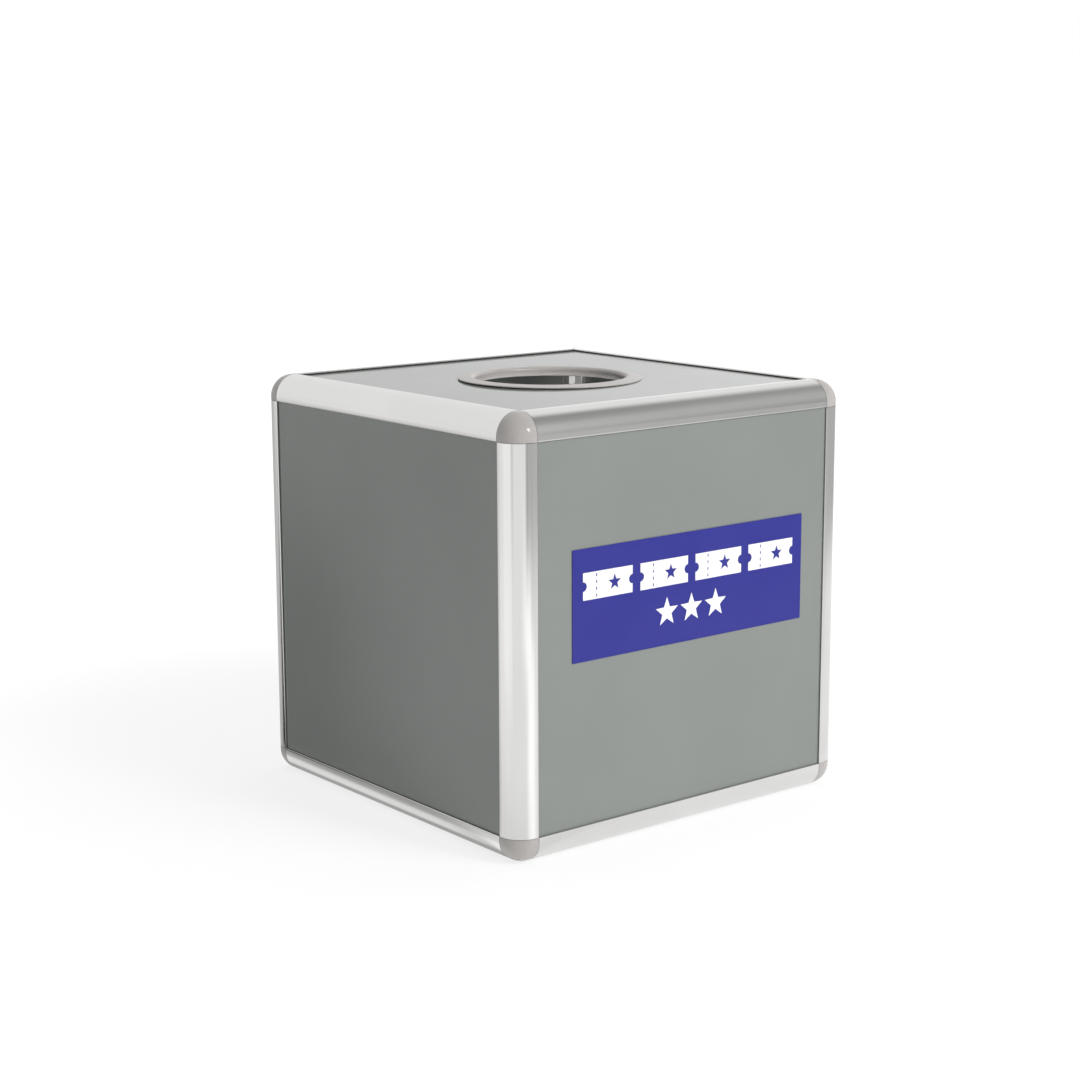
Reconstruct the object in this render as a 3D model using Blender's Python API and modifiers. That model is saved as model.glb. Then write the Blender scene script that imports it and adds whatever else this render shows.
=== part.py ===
"""Raffle box: a cube of grey panels held in an aluminium corner-profile frame.

Units are metres and +Z is up. The origin is the middle of the underside, and the
labelled front faces -Y. Twelve lengths of quarter-round profile push onto eight
moulded three-way corners, six panels sit in the profiles' slots, and a two-piece
plastic ring lines the hand hole in the top panel.
"""
import math
from itertools import product

import bmesh
import bpy
from mathutils import Matrix, Vector

# Outer size of the box
BOX_WIDTH = 0.300
BOX_DEPTH = 0.300
BOX_HEIGHT = 0.300

# Clearance between neighbouring pieces, and how far a cutter runs past a face
FIT_GAP = 0.0003
CUT_OVERRUN = 0.0020
MERGE_DISTANCE = 0.00001

# Panels, which rest against the inner lip of the slot
PANEL_THICKNESS = 0.0025
SLOT_PLAY = 0.0006
SLOT_DEPTH = 0.0060

# Extruded profile: outer skin and webs, closed chamber, and the flat beside each lip
PROFILE_WALL = 0.0010
CHAMBER_SIDE = 0.0106
PROFILE_FLAT = 0.0026

# Moulded corner: how far each prong reaches into its profile
PRONG_LENGTH = 0.0240
PRONG_ROOT = 0.0030

# Hand-hole ring: sleeve through the panel, and a domed flange that rests on it at an
# inner seat, with its rim just clear of the panel
BORE_RADIUS = 0.0545
SLEEVE_WALL = 0.0020
SLEEVE_TAIL = 0.0002
FLANGE_WIDTH = 0.0100
SEAT_WIDTH = 0.0035
RIM_LIFT = 0.0006
RIM_THICKNESS = 0.0007
RIM_ROUND = 0.0003
FLANGE_RISE = 0.0008
CREST_ROUND = 0.0030

# Clamping ring that grips the sleeve below the panel
CLAMP_THICKNESS = 0.0016

# Label on the front panel, measured from the middle of the front
LABEL_WIDTH = 0.2110
LABEL_HEIGHT = 0.0760
LABEL_THICKNESS = 0.0003
LABEL_SHIFT = 0.0035
LABEL_RAISE = 0.0194

# Facets along each rounded stretch
ROUND_STEPS = 10
HOLE_SIDES = 64
SMALL_ROUND_STEPS = 4
SHARP_ANGLE = math.radians(35)

# Distances inward from an outer face of the box, set by the sizes above
SLOT_WIDTH = PANEL_THICKNESS + FIT_GAP + SLOT_PLAY
LIP_INNER = PROFILE_WALL
SLOT_INNER = LIP_INNER + SLOT_WIDTH
SECTION_INNER = SLOT_INNER + PROFILE_WALL
CHAMBER_EDGE = PROFILE_WALL + CHAMBER_SIDE
WEB_FACE = CHAMBER_EDGE + PROFILE_WALL
PROFILE_LEG = WEB_FACE + SLOT_DEPTH
PROFILE_RADIUS = PROFILE_LEG - PROFILE_FLAT
PANEL_INNER = SLOT_INNER - FIT_GAP
PANEL_OUTER = PANEL_INNER - PANEL_THICKNESS
PANEL_MARGIN = WEB_FACE + FIT_GAP
PROFILE_MARGIN = PROFILE_LEG + FIT_GAP

# Hand hole
SLEEVE_RADIUS = BORE_RADIUS + SLEEVE_WALL
HOLE_RADIUS = SLEEVE_RADIUS + FIT_GAP
FLANGE_RADIUS = SLEEVE_RADIUS + FLANGE_WIDTH

# Low and high corners of the whole box
BOX_LOW = Vector((-BOX_WIDTH / 2, -BOX_DEPTH / 2, 0))
BOX_HIGH = Vector((BOX_WIDTH / 2, BOX_DEPTH / 2, BOX_HEIGHT))
BOX_MIDDLE = (BOX_LOW + BOX_HIGH) / 2

# Names of the two ends of each axis
SIDE_NAMES = (("left", "right"), ("front", "back"), ("bottom", "top"))

# Finishes: linear base colour, roughness and metallic value
ALUMINIUM = ((0.74, 0.73, 0.71), 0.32, 1.0)
CORNER_PLASTIC = ((0.38, 0.36, 0.35), 0.45, 0.0)
RING_PLASTIC = ((0.45, 0.43, 0.42), 0.40, 0.0)
PANEL_PLASTIC = ((0.22, 0.23, 0.22), 0.12, 0.0)
LABEL_FILM = ((0.06, 0.055, 0.33), 0.30, 0.0)


def clear_scene():
    """Remove every object that the new scene starts with."""
    for item in list(bpy.data.objects):
        bpy.data.objects.remove(item, do_unlink=True)


def new_collection(name):
    """Return a new collection linked to the scene."""
    collection = bpy.data.collections.new(name)
    bpy.context.scene.collection.children.link(collection)
    return collection


def principled(name, finish):
    """Return a plain material of one finish."""
    colour, roughness, metallic = finish
    material = bpy.data.materials.new(name)
    material.use_nodes = True
    shader = material.node_tree.nodes["Principled BSDF"]
    shader.inputs["Base Color"].default_value = (*colour, 1)
    shader.inputs["Roughness"].default_value = roughness
    shader.inputs["Metallic"].default_value = metallic
    return material


def add_piece(name, data, finish, placement, collection):
    """Place one piece of the box, with a material of its own."""
    piece = bpy.data.objects.new(name, data)
    piece.matrix_world = placement
    collection.objects.link(piece)
    piece.data.materials.clear()
    piece.data.materials.append(principled(name + "_finish", finish))
    return piece


def add_tool(name, mesh, collection):
    """Place a shape that only cuts or joins others."""
    tool = bpy.data.objects.new(name, mesh)
    tool.hide_render = True
    tool.display_type = "WIRE"
    collection.objects.link(tool)
    return tool


def add_boolean(target, tool, operation):
    """Cut target with tool, or join them."""
    modifier = target.modifiers.new(tool.name, "BOOLEAN")
    modifier.operation = operation
    modifier.solver = "EXACT"
    modifier.object = tool


def evaluated_mesh(source, name):
    """Return a welded copy of what an object shows with its modifiers."""
    bpy.context.view_layer.update()
    shown = source.evaluated_get(bpy.context.evaluated_depsgraph_get())
    mesh = bpy.data.meshes.new_from_object(shown)
    mesh.name = name
    work = bmesh.new()
    work.from_mesh(mesh)
    bmesh.ops.remove_doubles(work, verts=work.verts, dist=MERGE_DISTANCE)
    work.to_mesh(mesh)
    work.free()
    return mesh


def box_mesh(name, low, high):
    """Return a box between two corners."""
    low, high = Vector(low), Vector(high)
    work = bmesh.new()
    bmesh.ops.create_cube(work, size=1)
    bmesh.ops.scale(work, vec=high - low, verts=work.verts)
    bmesh.ops.translate(work, vec=(low + high) / 2, verts=work.verts)
    mesh = bpy.data.meshes.new(name)
    work.to_mesh(mesh)
    work.free()
    return mesh


def arc(centre, radius, start, end, steps):
    """Return points along an arc, both ends included."""
    turns = [start + (end - start) * step / steps for step in range(steps + 1)]
    return [(centre[0] + radius * math.cos(turn), centre[1] + radius * math.sin(turn))
            for turn in turns]


def skin_outline():
    """Return the outside of the profile's section, with both panel slots."""
    slot_across = [(PROFILE_LEG, SECTION_INNER), (PROFILE_LEG, SLOT_INNER), (WEB_FACE, SLOT_INNER),
                   (WEB_FACE, LIP_INNER), (PROFILE_LEG, LIP_INNER), (PROFILE_LEG, 0)]
    slot_up = [(v, u) for u, v in reversed(slot_across)]
    middle = (PROFILE_RADIUS, PROFILE_RADIUS)
    quarter = arc(middle, PROFILE_RADIUS, math.pi * 3 / 2, math.pi, ROUND_STEPS)
    inner_step = [(SECTION_INNER, WEB_FACE), (WEB_FACE, WEB_FACE), (WEB_FACE, SECTION_INNER)]
    return slot_across + quarter + slot_up + inner_step


def chamber_outline(inset):
    """Return the closed chamber of the section, drawn in by inset on every side."""
    edge = CHAMBER_EDGE - inset
    radius = PROFILE_RADIUS - PROFILE_WALL - inset
    swing = math.acos((PROFILE_RADIUS - edge) / radius)
    middle = (PROFILE_RADIUS, PROFILE_RADIUS)
    rounded = arc(middle, radius, math.pi * 3 / 2 - swing, math.pi + swing, ROUND_STEPS)
    return rounded + [(edge, edge)]


def extruded(name, outlines, length):
    """Return a flat outline, with its holes, extruded evenly about its plane."""
    curve = bpy.data.curves.new(name, "CURVE")
    curve.dimensions = "2D"
    curve.fill_mode = "BOTH"
    curve.extrude = length / 2
    for outline in outlines:
        spline = curve.splines.new("POLY")
        spline.points.add(len(outline) - 1)
        for point, (u, v) in zip(spline.points, outline):
            point.co = (u, v, 0, 1)
        spline.use_cyclic_u = True
    return curve


def inward_frame(signs, along):
    """Return unit directions u, v and w for a length along one axis of the box.

    The first two point inward from the edge that signs picks, and all three are
    right-handed. The section is its own mirror image, so u and v may change places.
    """
    across = [axis for axis in range(3) if axis != along]
    inward = [Vector([-signs[axis] if item == axis else 0 for item in range(3)]) for axis in across]
    length = Vector([1 if item == along else 0 for item in range(3)])
    if inward[0].cross(inward[1]).dot(length) < 0:
        inward.reverse()
    return inward[0], inward[1], length


def corner_frame(signs):
    """Return three right-handed directions that point inward from one corner of the box."""
    first, second, up = inward_frame(signs, 2)
    if signs[2] > 0:
        return second, first, -up
    return first, second, up


def placed(directions, origin):
    """Return the matrix that carries x, y and z to three directions at an origin."""
    return Matrix.Translation(origin) @ Matrix(directions).transposed().to_4x4()


def box_corner(signs):
    """Return the outer corner of the box that three signs pick."""
    return Vector([BOX_HIGH[axis] if signs[axis] > 0 else BOX_LOW[axis] for axis in range(3)])


def side_name(axis, sign):
    """Return the word for one end of an axis."""
    return SIDE_NAMES[axis][sign > 0]


def build_profiles(parts):
    """Add the four posts and eight rails of the frame."""
    outlines = [skin_outline(), chamber_outline(0)]
    for along in range(3):
        across = [axis for axis in range(3) if axis != along]
        span = BOX_HIGH[along] - BOX_LOW[along] - 2 * PROFILE_MARGIN
        for pair in product((-1, 1), repeat=2):
            signs = [0, 0, 0]
            for axis, sign in zip(across, pair):
                signs[axis] = sign
            words = [side_name(axis, signs[axis]) for axis in reversed(across)]
            kind = "post" if along == 2 else "rail"
            name = "_".join([kind] + words)
            origin = box_corner(signs)
            origin[along] = BOX_MIDDLE[along]
            placement = placed(inward_frame(signs, along), origin)
            add_piece(name, extruded(name, outlines, span), ALUMINIUM, placement, parts)


def corner_mesh(tools):
    """Return one three-way corner, its outer vertex at zero and its prongs along +X, +Y, +Z."""
    mesh = box_mesh("corner_body", (0, 0, 0), (PROFILE_LEG, PROFILE_LEG, PROFILE_LEG))
    work = bmesh.new()
    work.from_mesh(mesh)
    outer = min(work.verts, key=lambda vertex: vertex.co.length)
    bmesh.ops.bevel(work, geom=[outer, *outer.link_edges], offset=PROFILE_RADIUS,
                    offset_type="OFFSET", segments=ROUND_STEPS, profile=0.5, affect="EDGES")
    work.to_mesh(mesh)
    work.free()
    body = add_tool("corner_blank", mesh, tools)
    past = PROFILE_LEG + CUT_OVERRUN
    for axis, word in enumerate("xyz"):
        low, high = [WEB_FACE] * 3, [past] * 3
        low[axis], high[axis] = LIP_INNER, SLOT_INNER
        slot = add_tool("cut_slot_" + word, box_mesh("cut_slot_" + word, low, high), tools)
        add_boolean(body, slot, "DIFFERENCE")
        low[axis], high[axis] = SECTION_INNER, past
        room = add_tool("cut_room_" + word, box_mesh("cut_room_" + word, low, high), tools)
        add_boolean(body, room, "DIFFERENCE")
    reach = PRONG_LENGTH + PRONG_ROOT
    curve = extruded("prong_outline", [chamber_outline(FIT_GAP)], reach)
    prong_curve = bpy.data.objects.new("prong_outline", curve)
    tools.objects.link(prong_curve)
    prong_mesh = evaluated_mesh(prong_curve, "prong")
    bpy.data.objects.remove(prong_curve, do_unlink=True)
    for axis, word in enumerate("xyz"):
        prong = add_tool("join_prong_" + word, prong_mesh, tools)
        origin = Vector((0, 0, 0))
        origin[axis] = PROFILE_LEG - PRONG_ROOT + reach / 2
        prong.matrix_world = placed(inward_frame((-1, -1, -1), axis), origin)
        add_boolean(body, prong, "UNION")
    shaped = evaluated_mesh(body, "corner")
    shaped.shade_smooth()
    shaped.set_sharp_from_angle(angle=SHARP_ANGLE)
    return shaped


def build_corners(parts, tools):
    """Add the eight moulded corners, each turned to its own corner of the box."""
    shaped = corner_mesh(tools)
    for signs in product((-1, 1), repeat=3):
        words = [side_name(axis, signs[axis]) for axis in (2, 1, 0)]
        name = "_".join(["corner"] + words)
        mesh = shaped.copy()
        mesh.name = name
        placement = placed(corner_frame(signs), box_corner(signs))
        add_piece(name, mesh, CORNER_PLASTIC, placement, parts)


def panel_corners(axis, sign):
    """Return the low and high corners of the panel at one end of an axis."""
    margin = Vector((PANEL_MARGIN, PANEL_MARGIN, PANEL_MARGIN))
    low, high = BOX_LOW + margin, BOX_HIGH - margin
    if sign < 0:
        low[axis] = BOX_LOW[axis] + PANEL_OUTER
        high[axis] = BOX_LOW[axis] + PANEL_INNER
    else:
        low[axis] = BOX_HIGH[axis] - PANEL_INNER
        high[axis] = BOX_HIGH[axis] - PANEL_OUTER
    return low, high


def build_panels(parts, tools):
    """Add the six panels, and cut the hand hole in the top one."""
    for axis in range(3):
        for sign in (-1, 1):
            name = side_name(axis, sign) + "_panel"
            low, high = panel_corners(axis, sign)
            middle = (low + high) / 2
            mesh = box_mesh(name, low - middle, high - middle)
            panel = add_piece(name, mesh, PANEL_PLASTIC, Matrix.Translation(middle), parts)
            if (axis, sign) == (2, 1):
                cut_hand_hole(panel, middle, tools)


def cut_hand_hole(panel, middle, tools):
    """Cut the round hole for a hand through the top panel."""
    work = bmesh.new()
    bmesh.ops.create_cone(work, cap_ends=True, segments=HOLE_SIDES, radius1=HOLE_RADIUS,
                          radius2=HOLE_RADIUS, depth=PANEL_THICKNESS + 2 * CUT_OVERRUN)
    mesh = bpy.data.meshes.new("cut_hand_hole")
    work.to_mesh(mesh)
    work.free()
    cutter = add_tool("cut_hand_hole", mesh, tools)
    cutter.location = middle
    add_boolean(panel, cutter, "DIFFERENCE")


def turned(name, outline, height, finish, parts):
    """Add a ring turned about Z from a closed outline of radius and height."""
    mesh = bpy.data.meshes.new(name)
    work = bmesh.new()
    corners = [work.verts.new((radius, 0, rise)) for radius, rise in outline]
    for start, end in zip(corners, corners[1:] + corners[:1]):
        work.edges.new((start, end))
    work.to_mesh(mesh)
    work.free()
    ring = add_piece(name, mesh, finish, Matrix.Translation((0, 0, height)), parts)
    screw = ring.modifiers.new("turn", "SCREW")
    screw.steps = HOLE_SIDES
    screw.render_steps = HOLE_SIDES
    screw.use_merge_vertices = True
    screw.merge_threshold = MERGE_DISTANCE
    screw.use_smooth_shade = True
    return ring


def flange_outline():
    """Return the hand-hole ring's section: crest, flange, sleeve and bore, outer side first.

    Heights are above the top panel's upper face.
    """
    rim_under = FIT_GAP + RIM_LIFT
    rim_top = rim_under + RIM_THICKNESS
    crest = rim_top + FLANGE_RISE
    edge = (FLANGE_RADIUS - RIM_ROUND, rim_top - RIM_ROUND)
    shoulder = arc(edge, RIM_ROUND, math.pi / 2, 0, SMALL_ROUND_STEPS)
    clamp_under = -(PANEL_THICKNESS + FIT_GAP + CLAMP_THICKNESS)
    sleeve_end = clamp_under - SLEEVE_TAIL
    lower = [(FLANGE_RADIUS, rim_under), (SLEEVE_RADIUS + SEAT_WIDTH, FIT_GAP), (SLEEVE_RADIUS, FIT_GAP),
             (SLEEVE_RADIUS, sleeve_end), (BORE_RADIUS, sleeve_end)]
    throat = (BORE_RADIUS + CREST_ROUND, crest - CREST_ROUND)
    mouth = arc(throat, CREST_ROUND, math.pi, math.pi / 2, 2 * SMALL_ROUND_STEPS)
    return shoulder + lower + mouth


def clamp_outline():
    """Return the clamping ring's section, with heights below the top panel's upper face."""
    top = -(PANEL_THICKNESS + FIT_GAP)
    under = top - CLAMP_THICKNESS
    return [(HOLE_RADIUS, top), (FLANGE_RADIUS, top), (FLANGE_RADIUS, under), (HOLE_RADIUS, under)]


def build_hand_hole_rings(parts):
    """Add the flanged ring and the clamping ring of the hand hole."""
    height = BOX_HIGH.z - PANEL_OUTER
    turned("hole_ring", flange_outline(), height, RING_PLASTIC, parts)
    turned("hole_clamp_ring", clamp_outline(), height, RING_PLASTIC, parts)


def build_label(parts):
    """Add the label on the outside of the front panel."""
    half = Vector((LABEL_WIDTH, LABEL_THICKNESS, LABEL_HEIGHT)) / 2
    face = BOX_LOW.y + PANEL_OUTER
    middle = Vector((LABEL_SHIFT, face - FIT_GAP - half.y, BOX_MIDDLE.z + LABEL_RAISE))
    mesh = box_mesh("front_label", -half, half)
    add_piece("front_label", mesh, LABEL_FILM, Matrix.Translation(middle), parts)


def main():
    """Build the whole raffle box."""
    clear_scene()
    parts = new_collection("raffle_box")
    tools = new_collection("raffle_box_cutters")
    build_profiles(parts)
    build_corners(parts, tools)
    build_panels(parts, tools)
    build_hand_hole_rings(parts)
    build_label(parts)


main()
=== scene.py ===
"""Detailed looks of the raffle box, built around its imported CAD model.

Units are metres, +Z is up, and the labelled front faces -Y. The six panels and the
label stay as packed and get finishes of their own. Finer pieces stand for the edge
profiles, the moulded corners and the rings of the hand hole.
"""
from __future__ import annotations

import logging
import math
from collections.abc import Sequence
from dataclasses import dataclass, field
from enum import Enum
from functools import partial, reduce
from itertools import product

import bmesh
import bpy
from mathutils import Matrix, Vector


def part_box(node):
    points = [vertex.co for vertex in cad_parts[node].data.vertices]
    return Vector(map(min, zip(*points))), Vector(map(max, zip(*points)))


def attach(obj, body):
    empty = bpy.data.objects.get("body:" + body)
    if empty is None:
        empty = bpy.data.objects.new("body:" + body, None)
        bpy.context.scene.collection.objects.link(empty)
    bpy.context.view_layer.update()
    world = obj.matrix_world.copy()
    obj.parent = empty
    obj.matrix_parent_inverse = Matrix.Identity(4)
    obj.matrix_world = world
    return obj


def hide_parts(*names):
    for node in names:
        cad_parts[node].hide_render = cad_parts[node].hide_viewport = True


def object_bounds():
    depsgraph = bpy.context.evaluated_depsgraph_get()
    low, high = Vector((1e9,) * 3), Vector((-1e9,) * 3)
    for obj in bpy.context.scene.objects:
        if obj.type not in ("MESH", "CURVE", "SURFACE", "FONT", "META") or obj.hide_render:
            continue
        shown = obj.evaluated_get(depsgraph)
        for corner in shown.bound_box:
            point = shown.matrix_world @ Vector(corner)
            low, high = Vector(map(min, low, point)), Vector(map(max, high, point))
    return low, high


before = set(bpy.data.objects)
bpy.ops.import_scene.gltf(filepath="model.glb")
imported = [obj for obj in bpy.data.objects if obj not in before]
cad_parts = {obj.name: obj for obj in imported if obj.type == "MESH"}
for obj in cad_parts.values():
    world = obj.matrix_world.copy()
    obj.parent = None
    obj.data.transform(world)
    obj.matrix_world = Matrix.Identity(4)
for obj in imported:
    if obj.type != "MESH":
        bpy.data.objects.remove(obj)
CAD_LOW, CAD_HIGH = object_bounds()

LOG = logging.getLogger("raffle_box")
BODY = "root"
WELD = 0.000002
SHARP = math.radians(38)

Colour = tuple[float, float, float]
Place = tuple[float, float, float]
Point = tuple[float, float]
Corner = tuple[float, float, float]
Limits = tuple[float, float]
Socket = bpy.types.NodeSocket
Mesh = bpy.types.Mesh
Item = bpy.types.Object
Material = bpy.types.Material
Work = bmesh.types.BMesh


class Axis(Enum):
    """The box's three axes, with the words for their low and high ends."""

    WIDTH = (0, "left", "right")
    DEPTH = (1, "front", "back")
    HEIGHT = (2, "bottom", "top")

    @property
    def index(self) -> int:
        """Return the axis number."""
        return self.value[0]

    def side(self, sign: int) -> str:
        """Return the word for the end that a sign picks."""
        return self.value[2] if sign > 0 else self.value[1]


class Texture(Enum):
    """How a finish's fine relief runs."""

    GRAIN = "grain"
    BRUSHED = "brushed"


class Slot(Enum):
    """The record's material slot names; no piece in this script is given them."""

    ALUMINIUM = "aluminium_profile"
    CORNER = "corner_plastic"
    RING = "ring_plastic"
    LABEL = "label_film"


class NodeTree:
    """Adds nodes to one shader tree and links them."""

    def __init__(self, tree: bpy.types.NodeTree) -> None:
        """Hold the tree of a material, a world or a node group."""
        self.tree = tree

    def fill(self, node: bpy.types.Node, values: dict) -> bpy.types.Node:
        """Set a node's inputs.

        Args:
            node: the node.
            values: its inputs by name or number, each a socket to link or a value.

        Returns:
            The same node.
        """
        for name, value in values.items():
            if isinstance(value, Socket):
                self.tree.links.new(value, node.inputs[name])
            else:
                node.inputs[name].default_value = value
        return node

    def add(self, kind: str, values: dict | None = None, **settings: object) -> bpy.types.Node:
        """Add one node.

        Args:
            kind: the node's type, without its ShaderNode prefix.
            values: its inputs by name or number, each a socket to link or a value.
            settings: properties of the node itself.

        Returns:
            The new node.
        """
        node = self.tree.nodes.new("ShaderNode" + kind)
        for name, setting in settings.items():
            setattr(node, name, setting)
        return self.fill(node, values or {})

    def math(self, operation: str, *values: object) -> Socket:
        """Return the result of a Math node on its inputs in order."""
        return self.add("Math", dict(enumerate(values)), operation=operation).outputs[0]

    def plus(self, *values: object) -> Socket:
        """Return the sum of values."""
        return reduce(partial(self.math, "ADD"), values)

    def times(self, *values: object) -> Socket:
        """Return the product of values."""
        return reduce(partial(self.math, "MULTIPLY"), values)

    def minus(self, first: object, second: object) -> Socket:
        """Return the difference of two values."""
        return self.math("SUBTRACT", first, second)

    def between(self, share: object, first: object, second: object) -> Socket:
        """Return a mix of two numbers."""
        return self.add("Mix", {0: share, 2: first, 3: second}, data_type="FLOAT").outputs[0]

    def mix(self, share: object, first: object, second: object) -> Socket:
        """Return a mix of two colours."""
        return self.add("Mix", {0: share, 6: first, 7: second}, data_type="RGBA").outputs[2]

    def ramp(self, value: object, low: float, high: float, start: object = 0.0,
             end: object = 1.0) -> Socket:
        """Return a smooth change of a value.

        Args:
            value: the socket that is mapped.
            low: where the change begins.
            high: where it ends.
            start: the result at low.
            end: the result at high.

        Returns:
            The mapped socket.
        """
        node = self.add("MapRange", {0: value, 1: low, 2: high, 3: start, 4: end},
                        interpolation_type="SMOOTHSTEP")
        return node.outputs[0]

    def window(self, value: object, rise: Limits, fall: Limits, top: object = 1.0) -> Socket:
        """Return a result that rises from 0 and later falls back to 0."""
        return self.times(self.ramp(value, *rise), self.ramp(value, *fall, top, 0.0))

    def swing(self, turn: object, limits: Limits, start: object = 0.0,
              end: object = 1.0) -> Socket:
        """Return a smooth change between two directions in degrees."""
        return self.ramp(turn, *map(math.radians, limits), start, end)

    def sector(self, turn: object, *changes: tuple[Limits, float]) -> Socket:
        """Return the sum of smooth changes between directions, each with what it adds."""
        return self.plus(*(self.swing(turn, limits, 0.0, added) for limits, added in changes))

    def split(self, point: object) -> bpy.types.NodeOutputs:
        """Return the three parts of a point or direction."""
        return self.add("SeparateXYZ", {0: point}).outputs

    def own_place(self) -> Socket:
        """Return the place in the piece's own frame."""
        return self.add("TexCoord").outputs["Object"]

    def noise(self, where: object, scale: object, detail: float, rough: float) -> Socket:
        """Return a noise value from about 0.2 to 0.8 at a point."""
        return self.add("TexNoise", {"Vector": where, "Scale": scale, "Detail": detail,
                                     "Roughness": rough}).outputs[0]

    def cells(self, size: object, detail: float, rough: float) -> Socket:
        """Return noise of one size in the piece's own frame."""
        return self.noise(self.own_place(), self.math("DIVIDE", 1.0, size), detail, rough)

    def rays(self) -> tuple[Socket, Socket]:
        """Return whether a ray comes from the camera, and whether one comes from a mirror."""
        path = self.add("LightPath").outputs
        return path["Is Camera Ray"], self.math("MAXIMUM", path["Is Glossy Ray"],
                                                path["Is Transmission Ray"])

    def lit_and_glowing(self, share: object, glow: object) -> Socket:
        """Return a grey shader that takes shadows and also gives off light.

        Args:
            share: how pale its lit part is.
            glow: how strongly it glows.

        Returns:
            The shader.
        """
        grey = self.add("CombineColor", {part: share for part in range(3)}).outputs[0]
        lit = self.add("BsdfDiffuse", {"Color": grey}).outputs[0]
        light = self.add("Emission", {"Color": (1, 1, 1, 1), "Strength": glow}).outputs[0]
        return self.add("AddShader", {0: lit, 1: light}).outputs[0]


class EffectGroup:
    """A shader node group with named inputs and outputs, built once.

    Each noise is given by its detail and roughness.
    """

    name = "effect"
    floats: tuple[str, ...] = ()
    colours: tuple[str, ...] = ()
    results: tuple[tuple[str, str], ...] = ()

    def __init__(self) -> None:
        """Make the group's sockets, then its nodes."""
        self.group = bpy.data.node_groups.new(self.name, "ShaderNodeTree")
        sockets = ([(word, "INPUT", "Color") for word in self.colours]
                   + [(word, "INPUT", "Float") for word in self.floats]
                   + [(word, "OUTPUT", kind) for word, kind in self.results])
        for word, way, kind in sockets:
            self.group.interface.new_socket(name=word, in_out=way,
                                            socket_type="NodeSocket" + kind)
        given = self.group.nodes.new("NodeGroupInput")
        taken = self.group.nodes.new("NodeGroupOutput")
        tree = NodeTree(self.group)
        tree.fill(taken, self.build(tree, given.outputs))

    def build(self, tree: NodeTree, given: bpy.types.NodeOutputs) -> dict:
        """Return the group's results by name."""
        raise NotImplementedError

    def place(self, tree: NodeTree, values: dict) -> bpy.types.Node:
        """Return this group's node in a material's tree, with its own values."""
        return tree.add("Group", values, node_tree=self.group)


class MouldedGrain(EffectGroup):
    """Fine even relief of moulded or rolled plastic."""

    name = "moulded_grain"
    floats = ("Grain Size", "Swell Size", "Swell Share")
    results = (("Height", "Float"),)
    fine_noise = (2.0, 0.45)
    swell_noise = (1.0, 0.4)

    def build(self, tree: NodeTree, given: bpy.types.NodeOutputs) -> dict:
        """Lay fine noise over a slower swell.

        Args:
            tree: the group's tree.
            given: the group's inputs.

        Returns:
            The height of the relief.
        """
        fine = tree.cells(given["Grain Size"], *self.fine_noise)
        slow = tree.cells(given["Swell Size"], *self.swell_noise)
        return {"Height": tree.plus(fine, tree.times(slow, given["Swell Share"]))}


class DrawnLines(EffectGroup):
    """Fine lines that run along local Z, as on drawn and brushed aluminium."""

    name = "drawn_lines"
    floats = ("Line Width", "Line Length")
    results = (("Height", "Float"), ("Mask", "Float"))
    fine_noise = (3.0, 0.6)
    broad_noise = (1.0, 0.5)
    broad_scale = 0.13
    worn = (0.3, 0.7)

    def build(self, tree: NodeTree, given: bpy.types.NodeOutputs) -> dict:
        """Draw noise out along the length.

        Args:
            tree: the group's tree.
            given: the group's inputs.

        Returns:
            The height of the relief, and a mask of broader bands.
        """
        where = tree.split(tree.own_place())
        sizes = (given["Line Width"], given["Line Width"], given["Line Length"])
        drawn = tree.add("CombineXYZ", {part: tree.math("DIVIDE", where[part], size)
                                        for part, size in enumerate(sizes)}).outputs[0]
        broad = tree.noise(drawn, self.broad_scale, *self.broad_noise)
        return {"Height": tree.noise(drawn, 1.0, *self.fine_noise),
                "Mask": tree.ramp(broad, *self.worn)}


class ColourDrift(EffectGroup):
    """A slow, faint change from one colour to another."""

    name = "colour_drift"
    colours = ("Colour", "Shade")
    floats = ("Patch Size", "Share")
    results = (("Colour", "Color"), ("Mask", "Float"))
    cloud_noise = (3.0, 0.55)
    cloud = (0.34, 0.66)

    def build(self, tree: NodeTree, given: bpy.types.NodeOutputs) -> dict:
        """Let one colour drift into the other in slow clouds.

        Args:
            tree: the group's tree.
            given: the group's inputs.

        Returns:
            The colour, and a mask of where it drifts.
        """
        mask = tree.ramp(tree.cells(given["Patch Size"], *self.cloud_noise), *self.cloud)
        share = tree.times(mask, given["Share"])
        return {"Colour": tree.mix(share, given["Colour"], given["Shade"]), "Mask": mask}


class SettledDust(EffectGroup):
    """Fine specks of dust, thickest where a surface faces up."""

    name = "settled_dust"
    colours = ("Colour", "Dust")
    floats = ("Speck Size", "Share")
    results = (("Colour", "Color"), ("Mask", "Float"))
    speck_noise = (4.0, 0.7)
    speck = (0.52, 0.74)
    upward = (-0.2, 1.0, 0.25, 1.0)

    def build(self, tree: NodeTree, given: bpy.types.NodeOutputs) -> dict:
        """Lay specks of dust on the colour.

        Args:
            tree: the group's tree.
            given: the group's inputs.

        Returns:
            The dusty colour, and a mask of where the dust lies.
        """
        specks = tree.ramp(tree.cells(given["Speck Size"], *self.speck_noise), *self.speck)
        normal = tree.split(tree.add("NewGeometry").outputs["Normal"])
        mask = tree.times(specks, tree.ramp(normal[2], *self.upward))
        share = tree.times(mask, given["Share"])
        return {"Colour": tree.mix(share, given["Colour"], given["Dust"]), "Mask": mask}


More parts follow.
